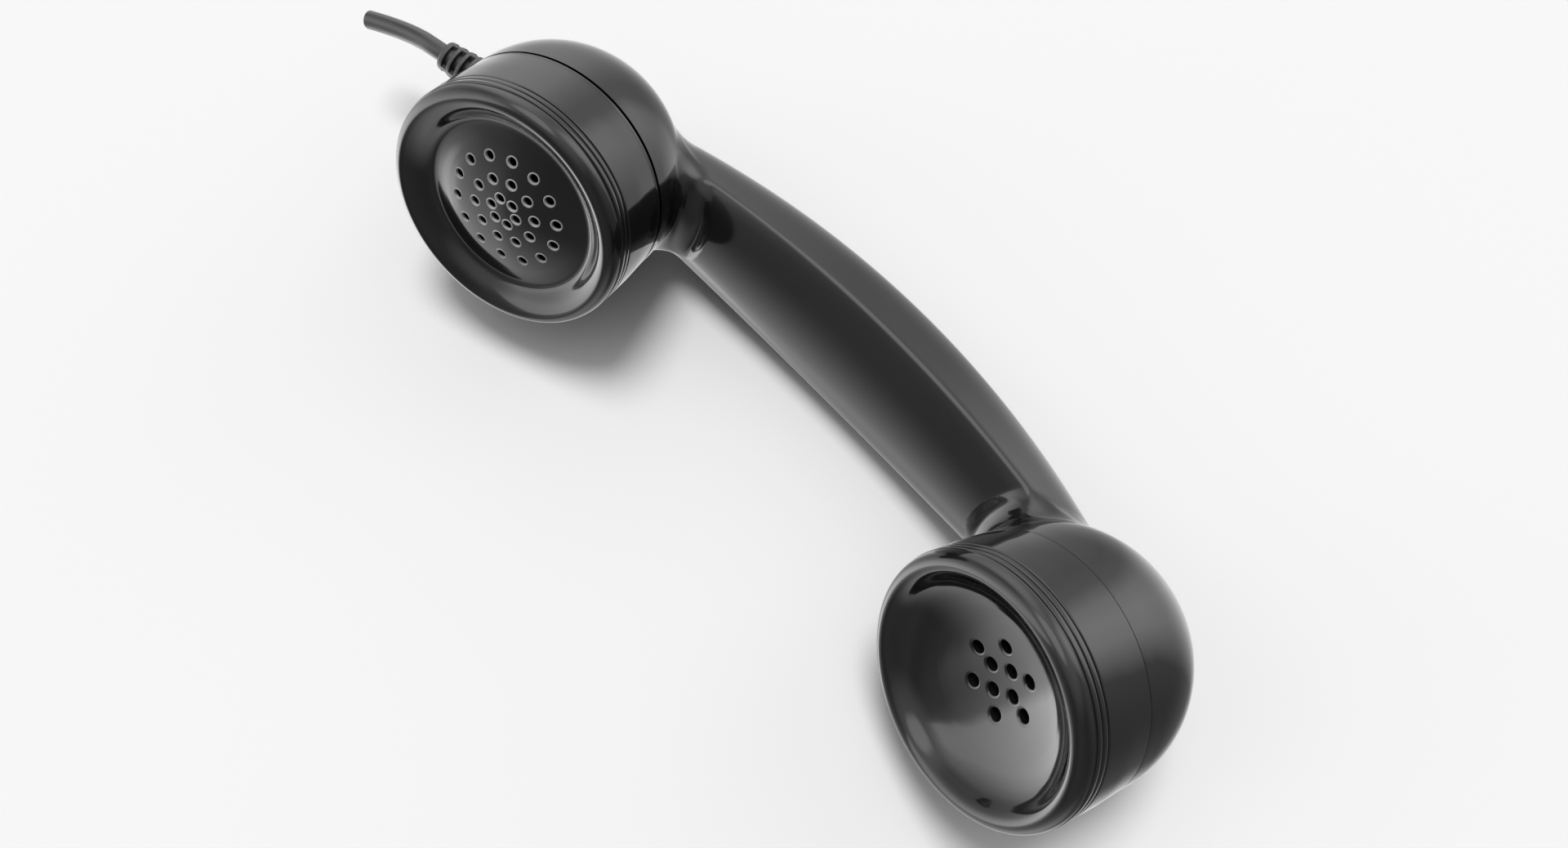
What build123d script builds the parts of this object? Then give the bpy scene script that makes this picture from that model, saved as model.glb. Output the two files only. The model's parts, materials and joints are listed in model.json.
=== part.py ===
from build123d import *
from math import cos, hypot, pi, radians, sin, sqrt, tan
import os

# Telephone handset, millimetres. It lies on a table, +Z up, as a handset comes to
# rest by itself: on its two domes and the belly of the handle, caps facing -Y and up.
# X runs from the transmitter (mouth end) to the receiver (ear end). The origin is on
# the table under the middle of the plan, the cord left out.

# ---------------------------------------------------------------- driving dimensions
cup_spacing = 160.0  # between the centres of the two domes
transmitter_tilt = 14.5  # each cup looks in towards the other by this, degrees
receiver_tilt = 17.0

dome_radius = 29.7
plan_middle = 3.87  # the domes touch the table this far in front of the plan's middle
collar_height = 3.8  # from a dome's centre to the seam under its cap
cap_overhang = 0.3  # a cap stands this far proud of the dome
skirt_wall = 2.7
cap_gap = 0.3  # cap bore round the spigot
cap_radius = dome_radius + cap_overhang
spigot_radius = cap_radius - skirt_wall - cap_gap  # threaded neck that a cap screws on
thread_lead = 3.0
thread_turns = 3
spigot_height = thread_lead * thread_turns
spigot_wall = 2.8
spigot_inner_radius = spigot_radius - spigot_wall
bore_depth = 4.0  # the capsule bore goes this far below the seam
chamber_radius = 15.0  # wiring chamber under the bore
chamber_depth = 22.8

face_depth = 23.15  # ridges of the handle, behind the domes' centres
face_arch_radius = 475.0
face_crown = 4.8  # the inner face bulges this much between the ridges
grip_half_width = 15.8
grip_plan_radius = 574.0
back_depth = 48.0  # the rounded back, behind the domes' centres
back_arch_radius = 180.0
ridge_fillet = 0.6  # along the two edges of the inner face
relief_gap = 5.5
relief_radius = dome_radius + relief_gap  # clearance cut round each cap
relief_depth = 13.6  # its floor, behind the dome's centre
neck_fillet = 2.0  # where the handle grows out of the domes
duct_radius = 2.5  # wire duct through the handle
duct_depth = 34.5
duct_end_depth = 18.5
duct_inset = 8.0  # it opens into each chamber this far short of the dome's centre
duct_reach = cup_spacing / 2 - duct_inset

cap_height = 20.0
groove_heights = (13.0, 14.6, 16.2)
groove_depth = 0.4
roll_width = 5.8  # the rounded rim of a cap
roll_inner_radius = cap_radius - roll_width
bowl_radius = 40.0  # ear cap: a spherical bowl
bowl_floor = 9.75
bowl_steps = (6.2, 10.8)  # radii of its flat middle and of the cone round that
disc_height = 18.5  # mouth cap: a low crowned disc inside a moat
disc_radius = 15.2
disc_crown = 1.5
disc_steps = (0.37, 0.7, 1.0)  # the crown is drawn flat, then as two cones
moat_radius = 19.2
moat_height = 15.6

mouth_hole = 2.1
mouth_ring_radii = (3.35, 8.0, 13.4)
mouth_ring_counts = (6, 10, 14)
mouth_ring_angles = (1.0, 19.0, 21.0)  # of the first hole
ear_hole = 2.9
ear_ring_radii = (3.95, 8.4)
ear_ring_counts = (4, 6)
ear_ring_angles = (1.5, 2.0)
disc_wall = 2.6  # thickness of the mouth cap's disc
bowl_wall = 3.0

flange_step = 0.6
flange_radius = spigot_radius - flange_step  # capsule flanges rest on the spigots
flange_thickness = 1.2
gasket_thickness = 1.5
gasket_width = 3.4
gasket_inner_radius = flange_radius - gasket_width
slip = 0.2  # clearance of a piece that drops into a bore

tray_wall = 2.0
capsule_radius = spigot_inner_radius - slip - tray_wall - 0.5  # transmitter capsule
capsule_wall = 1.0
capsule_bottom = 1.5
diaphragm_thickness = 0.3
diaphragm_height = 8.5
electrode_radius = 7.0
can_slip = 0.7
can_radius = spigot_inner_radius - can_slip  # receiver capsule: a wide can with a magnet well
can_wall = 1.2
can_bottom = -3.5
well_radius = chamber_radius - 0.4
well_bottom = -13.0
pole_offset = 6.5
pole_size = (4.0, 9.0)
coil_size = (9.2, 14.0)
plate_height = 3.6  # underside of the receiver's diaphragm
air_gap = 0.4

boot_depth = 11.0  # the boot's axis, behind the dome's centre
boot_neck_radius = 3.4
boot_base_radius = 5.0
boot_tip_radius = 3.3
boot_flange_radius = 5.0
boot_flange_thickness = 1.8
boot_length = 13.8  # what stands out of the dome
# distances along the boot's axis from the cup's axis
boot_seat = sqrt(chamber_radius**2 - boot_flange_radius**2)  # its flange, in the chamber
boot_start = boot_seat - boot_flange_thickness
cord_start = sqrt(dome_radius**2 - boot_depth**2)  # the dome's skin
boot_end = cord_start + boot_length
window_rows = 3
window_length = 1.2  # along the axis
window_pitch = 2.3
window_width = 5.2
window_angle = 41.0  # of the first window, turned from the cap towards the handle's upper edge
tip_length = 1.8  # plain rim beyond the windows
sleeve_wall = 0.5  # left over the cord inside each window
cord_diameter = 4.6
core_diameter = 1.3
core_bore = 4.0
cord_bend = boot_end - 0.9  # the cord leaves the boot's axis here
cord_steps = (  # each from the point before, in the handset's frame; cut square
    (-12.9, -2.0, 1.2),
    (-11.4, -4.7, 2.7),
)

# ---------------------------------------------------------------- frames


def sagitta(radius, x):
    return radius - sqrt(radius**2 - x**2)


def grip_section(x):
    """Half width, face height and back height of the D-shaped section at x."""
    half = grip_half_width - sagitta(grip_plan_radius, x)
    face = -face_depth + sagitta(face_arch_radius, x)
    back = -back_depth + sagitta(back_arch_radius, x)
    return half, face, back


def belly_reach(angle):
    """How far the middle of the handle reaches below the line of the domes' centres
    when the caps look up by this angle."""
    half, face, back = grip_section(0)
    return hypot(half * cos(angle), (face - back) * sin(angle)) - face * sin(angle)


def lean_at_rest():
    """The caps look up by the angle at which the belly meets the table as well."""
    low, high = 0.0, radians(60)
    for _ in range(40):
        middle = (low + high) / 2
        low, high = (middle, high) if belly_reach(middle) < dome_radius else (low, middle)
    return low


lean = lean_at_rest()
handset = Plane(
    origin=(0, -plan_middle, dome_radius),
    x_dir=(1, 0, 0),
    z_dir=(0, -cos(lean), sin(lean)),
)


def cup_frame(side, tilt):
    """A cup's own frame: origin on the seam, z out through the cap, x in the plane
    of symmetry. side is -1 at the transmitter and 1 at the receiver."""
    turn = radians(tilt) * side
    out = (-sin(turn), 0, cos(turn))
    across = (cos(turn), 0, sin(turn))
    centre = (side * cup_spacing / 2, 0, 0)
    seam = tuple(c + collar_height * o for c, o in zip(centre, out))
    return Plane(
        origin=handset.from_local_coords(seam),
        x_dir=handset.from_local_coords(across) - handset.origin,
        z_dir=handset.from_local_coords(out) - handset.origin,
    )


def section(frame):
    """The plane that holds a frame's x and z axes, for profiles of turned pieces."""
    return Plane(origin=frame.origin, x_dir=frame.x_dir, z_dir=-frame.y_dir)


def axis_of(frame):
    return Axis(frame.origin, frame.z_dir)


transmitter = cup_frame(-1, transmitter_tilt)
receiver = cup_frame(1, receiver_tilt)
handset_section = section(handset)


def keep(piece, name):
    piece.label = name
    export_step(piece, f"parts/{name}.step")


def at(frame, x, y, z):
    return frame.from_local_coords((x, y, z))


def in_section(frame, x, z):
    """A point of a cup's middle plane in the coordinates of the handset's section."""
    point = handset.to_local_coords(at(frame, x, 0, z))
    return point.X, point.Z


os.makedirs("parts", exist_ok=True)

# ---------------------------------------------------------------- cord jacket

boot_height = -collar_height - boot_depth
boot_line = Plane(
    origin=at(transmitter, 0, 0, boot_height),
    x_dir=transmitter.z_dir,
    z_dir=-transmitter.x_dir,
)
cord_route = [at(boot_line, 0, 0, cord_start), at(boot_line, 0, 0, cord_bend)]
for step in cord_steps:
    here = handset.to_local_coords(cord_route[-1])
    cord_route.append(at(handset, here.X + step[0], here.Y + step[1], here.Z + step[2]))
runs = [(b - a).length for a, b in zip(cord_route, cord_route[1:])]
bends = []
for k in range(len(runs) - 1):
    before = cord_route[k + 1] - cord_route[k]
    after = cord_route[k + 2] - cord_route[k + 1]
    half_turn = radians(before.get_angle(after) / 2)
    bends.append(0.45 * min(runs[k], runs[k + 1]) / tan(half_turn))

with BuildPart() as cord_jacket:
    with BuildLine() as cord_line:
        FilletPolyline(*cord_route, radius=bends)
    with BuildSketch(Plane(origin=cord_route[0], z_dir=boot_line.z_dir)):
        Circle(cord_diameter / 2)
    sweep(path=cord_line.line)
keep(cord_jacket.part, "cord_jacket")
cord_area = pi * (cord_diameter / 2) ** 2
print("cord runs", [round(run, 2) for run in runs], "bend radii", [round(r, 1) for r in bends])
print("cord volume", round(cord_jacket.part.volume, 1), "of", round(cord_area * cord_line.wire().length, 1))

# ---------------------------------------------------------------- handset body

with BuildPart() as handset_body:
    # handle: a loft of D-shaped sections along the arch, its two ridges rounded
    stations = [cup_spacing / 2 * k / 3 for k in (-3, -2, -1, 0, 1, 2, 3)]
    for x in stations:
        half, face, back = grip_section(x)
        place = Plane(
            origin=at(handset, x, 0, 0),
            x_dir=handset.y_dir,
            z_dir=handset.x_dir,
        )
        with BuildSketch(place):
            with BuildLine():
                ThreePointArc((-half, face), (0, face + face_crown), (half, face))
                EllipticalCenterArc((0, face), half, face - back, start_angle=180, arc_size=180)
            make_face()
    loft()
    fillet(handset_body.edges().filter_by(lambda edge: edge.length > cup_spacing / 2), ridge_fillet)
    # it steps down round each cap
    relief_floor = -collar_height - relief_depth
    for frame in (transmitter, receiver):
        with BuildSketch(frame.offset(relief_floor)):
            Circle(relief_radius)
        extrude(amount=cap_height - relief_floor, mode=Mode.SUBTRACT)
    # a cup at each end: dome and collar
    for frame in (transmitter, receiver):
        with BuildSketch(section(frame)):
            with BuildLine():
                Line((0, 0), (dome_radius, 0))
                Line((dome_radius, 0), (dome_radius, -collar_height))
                RadiusArc(
                    (dome_radius, -collar_height),
                    (0, -collar_height - dome_radius),
                    dome_radius,
                )
                Line((0, -collar_height - dome_radius), (0, 0))
            make_face()
        revolve(axis=axis_of(frame))
    # the handle blends into the domes
    neck = []
    for side in (-1, 1):
        centre = at(handset, side * cup_spacing / 2, 0, 0)
        for edge in handset_body.edges():
            reach = [(edge @ t - centre).length for t in (0, 0.25, 0.5, 0.75, 1)]
            if max(reach) < dome_radius + 0.02 and min(reach) > dome_radius - 0.02:
                if edge.length < dome_radius * 2:
                    neck.append(edge)
    fillet(neck, neck_fillet)
    # threaded necks, capsule bores, wiring chambers
    for frame in (transmitter, receiver):
        with BuildSketch(frame):
            Circle(spigot_radius)
        extrude(amount=spigot_height)
        with BuildSketch(frame.offset(spigot_height)):
            Circle(spigot_inner_radius)
        extrude(amount=-spigot_height - bore_depth, mode=Mode.SUBTRACT)
        with BuildSketch(frame.offset(-bore_depth)):
            Circle(chamber_radius)
        extrude(amount=bore_depth - chamber_depth, mode=Mode.SUBTRACT)
    # wire duct
    with BuildLine(handset_section) as duct_line:
        ThreePointArc(
            (-duct_reach, -duct_end_depth),
            (0, -duct_depth),
            (duct_reach, -duct_end_depth),
        )
    with BuildSketch(Plane(origin=duct_line.line @ 0, z_dir=duct_line.line % 0)):
        Circle(duct_radius)
    sweep(path=duct_line.line, mode=Mode.SUBTRACT)
    # hole for the cord's strain relief
    with BuildSketch(boot_line.offset(boot_seat - 1)):
        Circle(boot_neck_radius + slip / 2)
    extrude(amount=dome_radius - boot_seat + 1, mode=Mode.SUBTRACT)
keep(handset_body.part, "handset_body")

# ---------------------------------------------------------------- cap of the transmitter

shoulder = spigot_height + flange_thickness + gasket_thickness
spigot_bore = spigot_radius + cap_gap
crown = [(disc_radius * k, disc_height - disc_crown * k**2) for k in disc_steps]
inner_disc = crown[0][1] - disc_wall
inner_moat = moat_height - disc_wall
roll_edge = cap_height - 3.2

with BuildPart() as transmitter_cap:
    with BuildSketch(section(transmitter)):
        with BuildLine():
            Line((spigot_bore, 0), (cap_radius, 0))
            Line((cap_radius, 0), (cap_radius, groove_heights[0] - groove_depth))
            Line((cap_radius, groove_heights[0] - groove_depth), (cap_radius - 0.3, roll_edge))
            ThreePointArc(
                (cap_radius - 0.3, roll_edge),
                (cap_radius - 3.4, cap_height),
                (roll_inner_radius - 0.8, roll_edge + 1),
            )
            ThreePointArc(
                (roll_inner_radius - 0.8, roll_edge + 1),
                (moat_radius, moat_height),
                crown[-1],
            )
            Polyline(*crown[::-1], (0, crown[0][1]))
            Polyline(
                (0, crown[0][1]),
                (0, inner_disc),
                (disc_radius * disc_steps[1], inner_disc),
                (disc_radius, inner_disc - disc_crown),
                (moat_radius - 2.2, inner_moat),
                (roll_inner_radius, inner_moat),
                (roll_inner_radius, shoulder),
                (spigot_bore, shoulder),
                (spigot_bore, 0),
            )
        make_face()
    revolve(axis=axis_of(transmitter))
    for height in groove_heights:
        with BuildSketch(section(transmitter)):
            with Locations((cap_radius, height)):
                Rectangle(2 * groove_depth, 0.7)
        revolve(axis=axis_of(transmitter), mode=Mode.SUBTRACT)
    for radius, count, first in zip(mouth_ring_radii, mouth_ring_counts, mouth_ring_angles):
        with BuildSketch(transmitter.offset(cap_height)):
            with PolarLocations(radius, count, start_angle=first):
                Circle(mouth_hole / 2)
        extrude(amount=-cap_height + shoulder, mode=Mode.SUBTRACT)
keep(transmitter_cap.part, "transmitter_cap")

# ---------------------------------------------------------------- cap of the receiver

bowl_centre = bowl_floor + bowl_radius
under_radius = bowl_radius + bowl_wall
floor_rings = [(r, bowl_centre - sqrt(bowl_radius**2 - r**2)) for r in bowl_steps]
under_rings = [(r, bowl_centre - sqrt(under_radius**2 - r**2)) for r in bowl_steps]
rim_height = bowl_centre - sqrt(bowl_radius**2 - roll_inner_radius**2)
under_edge = bowl_centre - sqrt(under_radius**2 - roll_inner_radius**2)

with BuildPart() as receiver_cap:
    with BuildSketch(section(receiver)):
        with BuildLine():
            Line((spigot_bore, 0), (cap_radius, 0))
            Line((cap_radius, 0), (cap_radius, groove_heights[0] - groove_depth))
            Line((cap_radius, groove_heights[0] - groove_depth), (cap_radius - 0.3, roll_edge))
            ThreePointArc(
                (cap_radius - 0.3, roll_edge),
                (cap_radius - 3.4, cap_height),
                (roll_inner_radius, rim_height),
            )
            RadiusArc((roll_inner_radius, rim_height), floor_rings[1], bowl_radius)
            Polyline(floor_rings[1], floor_rings[0], (0, floor_rings[0][1]))
            Polyline((0, floor_rings[0][1]), (0, under_rings[0][1]), *under_rings)
            RadiusArc(under_rings[1], (roll_inner_radius, under_edge), -under_radius)
            Polyline(
                (roll_inner_radius, under_edge),
                (roll_inner_radius, shoulder),
                (spigot_bore, shoulder),
                (spigot_bore, 0),
            )
        make_face()
    revolve(axis=axis_of(receiver))
    for height in groove_heights:
        with BuildSketch(section(receiver)):
            with Locations((cap_radius, height)):
                Rectangle(2 * groove_depth, 0.7)
        revolve(axis=axis_of(receiver), mode=Mode.SUBTRACT)
    for radius, count, first in zip(ear_ring_radii, ear_ring_counts, ear_ring_angles):
        with BuildSketch(receiver.offset(cap_height)):
            with PolarLocations(radius, count, start_angle=first):
                Circle(ear_hole / 2)
        extrude(amount=bowl_floor - bowl_wall - cap_height, mode=Mode.SUBTRACT)
keep(receiver_cap.part, "receiver_cap")

# ---------------------------------------------------------------- gaskets

seat = spigot_height + flange_thickness
for name, frame in (("transmitter", transmitter), ("receiver", receiver)):
    with BuildPart() as gasket:
        with BuildSketch(frame.offset(seat)):
            Circle(flange_radius)
            Circle(gasket_inner_radius, mode=Mode.SUBTRACT)
        extrude(amount=shoulder - seat)
    keep(gasket.part, name + "_gasket")

# ---------------------------------------------------------------- wires in the handle

block_top = -bore_depth  # terminal block under the transmitter's tray
lead_offset = 0.9
receiver_end = in_section(receiver, 0, well_bottom - 1)
transmitter_end = in_section(transmitter, 5, block_top - 2.5)
leads = []
for number, offset in ((1, -lead_offset), (2, lead_offset)):
    with BuildPart() as lead:
        place = Plane(origin=at(handset, 0, offset, 0), x_dir=handset.x_dir, z_dir=-handset.y_dir)
        with BuildLine(place) as path:
            middle = ThreePointArc(
                (-duct_reach, -duct_end_depth),
                (0, -duct_depth),
                (duct_reach, -duct_end_depth),
            )
            TangentArc((duct_reach, -duct_end_depth), receiver_end, tangent=middle % 1)
            TangentArc((-duct_reach, -duct_end_depth), transmitter_end, tangent=-(middle % 0))
        wire = path.wire()
        with BuildSketch(Plane(origin=wire @ 0, z_dir=wire % 0)):
            Circle(core_diameter / 2)
        sweep(path=wire)
    keep(lead.part, f"receiver_lead_{number}")
    leads.append(lead.part)

cores = []
for number, across, above, turn in ((1, 0, 0.85, -5.5), (2, -0.75, -0.42, -3.0), (3, 0.75, -0.42, -3.0)):
    with BuildPart() as core:
        start = at(transmitter, 0, across, 0)
        with BuildLine(Plane(origin=start, x_dir=transmitter.x_dir, z_dir=-transmitter.y_dir)) as path:
            FilletPolyline(
                (-cord_start, boot_height + above),
                (turn, boot_height + above),
                (turn, block_top - 2),
                radius=4,
            )
        wire = path.wire()
        with BuildSketch(Plane(origin=wire @ 0, z_dir=wire % 0)):
            Circle(core_diameter / 2)
        sweep(path=wire)
    keep(core.part, f"cord_core_{number}")
    cores.append(core.part)

# ---------------------------------------------------------------- strain relief

with BuildPart() as cord_strain_relief:
    with BuildSketch(Plane(origin=boot_line.origin, x_dir=boot_line.x_dir, z_dir=-boot_line.y_dir)):
        with BuildLine():
            Polyline(
                (0, boot_start + 8),
                (boot_neck_radius + slip / 2, boot_start + 8),
                (boot_base_radius, boot_start + 8),
                (boot_base_radius, cord_start + 0.8),
                (boot_tip_radius + 0.3, boot_end - 1),
            )
            ThreePointArc(
                (boot_tip_radius + 0.3, boot_end - 1),
                (boot_tip_radius, boot_end - 0.3),
                (boot_tip_radius - 0.7, boot_end),
            )
            Polyline((boot_tip_radius - 0.7, boot_end), (0, boot_end), (0, boot_start + 8))
        make_face()
    revolve(axis=Axis(boot_line.origin, boot_line.z_dir))
    add(handset_body.part, mode=Mode.SUBTRACT)
    with BuildSketch(boot_line.offset(boot_start)):
        Circle(boot_neck_radius)
    extrude(amount=cord_start - boot_start)
    with BuildSketch(boot_line.offset(boot_start)):
        Circle(boot_flange_radius)
    extrude(amount=boot_seat - boot_start)
    with BuildSketch(boot_line.offset(boot_start)):
        Circle(core_bore / 2)
    extrude(amount=cord_start - boot_start, mode=Mode.SUBTRACT)
    add(cord_jacket.part, mode=Mode.SUBTRACT)
    # rows of windows between the ribs, four round the boot
    sleeve = cord_diameter / 2 + sleeve_wall
    window_reach = boot_base_radius - sleeve + 1
    for row in range(window_rows):
        row_end = boot_end - tip_length - row * window_pitch
        with BuildSketch(boot_line.offset(row_end)):
            with PolarLocations(sleeve + window_reach / 2, 4, start_angle=window_angle):
                Rectangle(window_reach, window_width)
        extrude(amount=-window_length, mode=Mode.SUBTRACT)
keep(cord_strain_relief.part, "cord_strain_relief")

# ---------------------------------------------------------------- transmitter capsule

tray_floor = block_top + 2.5
with BuildPart() as transmitter_tray:
    with BuildSketch(section(transmitter)):
        with BuildLine():
            Polyline(
                (0, block_top),
                (spigot_inner_radius - slip, block_top),
                (spigot_inner_radius - slip, 3),
                (spigot_inner_radius - slip - tray_wall, 3),
                (spigot_inner_radius - slip - tray_wall, tray_floor),
                (0, tray_floor),
                close=True,
            )
        make_face()
    revolve(axis=axis_of(transmitter))
keep(transmitter_tray.part, "transmitter_tray")

with BuildPart() as transmitter_ring_contact:
    with BuildSketch(transmitter.offset(tray_floor)):
        Circle(17)
        Circle(14, mode=Mode.SUBTRACT)
    extrude(amount=tray_floor + 0.6 - tray_floor)
    with BuildSketch(transmitter.offset(tray_floor + 0.6)):
        with PolarLocations(15.5, 3):
            Rectangle(2, 3)
    extrude(amount=capsule_bottom - tray_floor - 0.6)
keep(transmitter_ring_contact.part, "transmitter_ring_contact")

with BuildPart() as transmitter_centre_contact:
    with BuildSketch(section(transmitter)):
        with BuildLine():
            Polyline(
                (0, tray_floor),
                (3.5, tray_floor),
                (3.5, tray_floor + 0.6),
                (1.5, tray_floor + 0.6),
                (1.5, capsule_bottom),
                (0, capsule_bottom),
                close=True,
            )
        make_face()
    revolve(axis=axis_of(transmitter))
keep(transmitter_centre_contact.part, "transmitter_centre_contact")

floor = capsule_bottom + capsule_wall
lining = capsule_radius - capsule_wall
with BuildPart() as transmitter_case:
    with BuildSketch(section(transmitter)):
        with BuildLine():
            Polyline(
                (6, capsule_bottom),
                (capsule_radius, capsule_bottom),
                (capsule_radius, spigot_height),
                (flange_radius, spigot_height),
                (flange_radius, seat),
                (lining, seat),
                (lining, floor),
                (6, floor),
                close=True,
            )
        make_face()
    revolve(axis=axis_of(transmitter))
keep(transmitter_case.part, "transmitter_case")

with BuildPart() as transmitter_insulator:
    with BuildSketch(section(transmitter)):
        with BuildLine():
            Polyline(
                (3.5, capsule_bottom),
                (6, capsule_bottom),
                (6, floor),
                (electrode_radius + 1.5, floor),
                (electrode_radius + 1.5, floor + 0.8),
                (3.5, floor + 0.8),
                close=True,
            )
        make_face()
    revolve(axis=axis_of(transmitter))
keep(transmitter_insulator.part, "transmitter_insulator")

with BuildPart() as transmitter_fixed_electrode:
    with BuildSketch(section(transmitter)):
        with BuildLine():
            Polyline(
                (0, capsule_bottom),
                (3.5, capsule_bottom),
                (3.5, floor + 0.8),
                (electrode_radius, floor + 0.8),
                (electrode_radius, floor + 1.8),
                (0, floor + 1.8),
                close=True,
            )
        make_face()
    revolve(axis=axis_of(transmitter))
keep(transmitter_fixed_electrode.part, "transmitter_fixed_electrode")

with BuildPart() as transmitter_carbon_granules:
    with BuildSketch(section(transmitter)):
        with BuildLine():
            Polyline(
                (0, floor + 1.8),
                (electrode_radius, floor + 1.8),
                (electrode_radius, floor + 3.8),
                (0, floor + 3.8),
                close=True,
            )
        make_face()
    revolve(axis=axis_of(transmitter))
keep(transmitter_carbon_granules.part, "transmitter_carbon_granules")

with BuildPart() as transmitter_felt_ring:
    with BuildSketch(transmitter.offset(floor + 0.8)):
        Circle(electrode_radius + 1.5)
        Circle(electrode_radius, mode=Mode.SUBTRACT)
    extrude(amount=floor + 4.8 - (floor + 0.8))
keep(transmitter_felt_ring.part, "transmitter_felt_ring")

with BuildPart() as transmitter_moving_electrode:
    with BuildSketch(section(transmitter)):
        with BuildLine():
            Polyline(
                (0, floor + 3.8),
                (electrode_radius - slip, floor + 3.8),
                (electrode_radius - slip, floor + 4.8),
                (0, floor + 4.8),
                close=True,
            )
        make_face()
    revolve(axis=axis_of(transmitter))
keep(transmitter_moving_electrode.part, "transmitter_moving_electrode")

with BuildPart() as transmitter_spacer:
    with BuildSketch(transmitter.offset(floor)):
        Circle(lining)
        Circle(lining - 2, mode=Mode.SUBTRACT)
    extrude(amount=diaphragm_height - floor)
keep(transmitter_spacer.part, "transmitter_spacer")

with BuildPart() as transmitter_diaphragm:
    with BuildSketch(section(transmitter)):
        with BuildLine():
            Polyline(
                (0, floor + 4.8),
                (electrode_radius, floor + 4.8),
                (15, diaphragm_height),
                (lining, diaphragm_height),
                (lining, diaphragm_height + diaphragm_thickness),
                (15, diaphragm_height + diaphragm_thickness),
                (electrode_radius, floor + 4.8 + diaphragm_thickness),
                (0, floor + 4.8 + diaphragm_thickness),
                close=True,
            )
        make_face()
    revolve(axis=axis_of(transmitter))
keep(transmitter_diaphragm.part, "transmitter_diaphragm")

with BuildPart() as transmitter_clamp_ring:
    with BuildSketch(transmitter.offset(diaphragm_height + diaphragm_thickness)):
        Circle(lining)
        Circle(lining - 2, mode=Mode.SUBTRACT)
    extrude(amount=seat - (diaphragm_height + diaphragm_thickness))
keep(transmitter_clamp_ring.part, "transmitter_clamp_ring")

with BuildPart() as transmitter_grille:
    with BuildSketch(section(transmitter)):
        with BuildLine():
            Polyline(
                (0, seat + 1.6),
                (12, seat + 1.3),
                (18, seat),
                (gasket_inner_radius - 0.4, seat),
                (gasket_inner_radius - 0.4, seat + 0.5),
                (18.2, seat + 0.5),
                (12.2, seat + 1.8),
                (0, seat + 2.1),
                close=True,
            )
        make_face()
    revolve(axis=axis_of(transmitter))
    for radius, count in ((4, 4), (9, 8)):
        with BuildSketch(transmitter.offset(seat + 3)):
            with PolarLocations(radius, count):
                Circle(1.1)
        extrude(amount=-3, mode=Mode.SUBTRACT)
keep(transmitter_grille.part, "transmitter_grille")

with BuildPart() as transmitter_terminal_block:
    with BuildSketch(transmitter.offset(block_top)):
        Rectangle(16, 6)
    extrude(amount=-4)
    for piece in leads + cores:
        add(piece, mode=Mode.SUBTRACT)
keep(transmitter_terminal_block.part, "transmitter_terminal_block")

# ---------------------------------------------------------------- receiver capsule

can_lining = can_radius - can_wall
well_lining = well_radius - can_wall
can_floor = can_bottom + can_wall
well_floor = well_bottom + can_wall
with BuildPart() as receiver_case:
    with BuildSketch(section(receiver)):
        with BuildLine():
            Polyline(
                (0, well_bottom),
                (well_radius, well_bottom),
                (well_radius, can_bottom),
                (can_radius, can_bottom),
                (can_radius, spigot_height),
                (flange_radius, spigot_height),
                (flange_radius, seat),
                (can_lining, seat),
                (can_lining, can_floor),
                (well_lining, can_floor),
                (well_lining, well_floor),
                (0, well_floor),
                close=True,
            )
        make_face()
    revolve(axis=axis_of(receiver))
keep(receiver_case.part, "receiver_case")

magnet_top = well_floor + 3.8
with BuildPart() as receiver_magnet:
    with BuildSketch(receiver.offset(well_floor)):
        Rectangle(24, 10)
    extrude(amount=magnet_top - well_floor)
keep(receiver_magnet.part, "receiver_magnet")

for number, x in ((1, -pole_offset), (2, pole_offset)):
    with BuildPart() as pole_piece:
        with BuildSketch(receiver.offset(magnet_top)):
            with Locations((x, 0)):
                Rectangle(*pole_size)
        extrude(amount=plate_height - air_gap - magnet_top)
    keep(pole_piece.part, f"receiver_pole_piece_{number}")

    with BuildPart() as coil:
        with BuildSketch(receiver.offset(magnet_top)):
            with Locations((x, 0)):
                RectangleRounded(*coil_size, radius=1.5)
                Rectangle(*pole_size, mode=Mode.SUBTRACT)
        extrude(amount=9.2)
    keep(coil.part, f"receiver_coil_{number}")

with BuildPart() as receiver_spacer:
    with BuildSketch(receiver.offset(can_floor)):
        Circle(can_lining)
        Circle(can_lining - 2, mode=Mode.SUBTRACT)
    extrude(amount=plate_height - can_floor)
keep(receiver_spacer.part, "receiver_spacer")

plate_top = plate_height + diaphragm_thickness
with BuildPart() as receiver_diaphragm:
    with BuildSketch(receiver.offset(plate_height)):
        Circle(can_lining)
    extrude(amount=diaphragm_thickness)
keep(receiver_diaphragm.part, "receiver_diaphragm")

with BuildPart() as receiver_clamp_ring:
    with BuildSketch(receiver.offset(plate_top)):
        Circle(can_lining)
        Circle(can_lining - 2, mode=Mode.SUBTRACT)
    extrude(amount=plate_top + 1.3 - plate_top)
keep(receiver_clamp_ring.part, "receiver_clamp_ring")

with BuildPart() as receiver_grille:
    with BuildSketch(receiver.offset(plate_top + 1.3)):
        Circle(can_lining)
        with PolarLocations(6, 6):
            Circle(1.5, mode=Mode.SUBTRACT)
        Circle(1.5, mode=Mode.SUBTRACT)
    extrude(amount=0.6)
keep(receiver_grille.part, "receiver_grille")

with BuildPart() as receiver_retainer:
    with BuildSketch(receiver.offset(plate_top + 1.9)):
        Circle(can_lining)
        Circle(can_lining - 2, mode=Mode.SUBTRACT)
    extrude(amount=plate_top + 3.7 - (plate_top + 1.9))
keep(receiver_retainer.part, "receiver_retainer")

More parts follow.
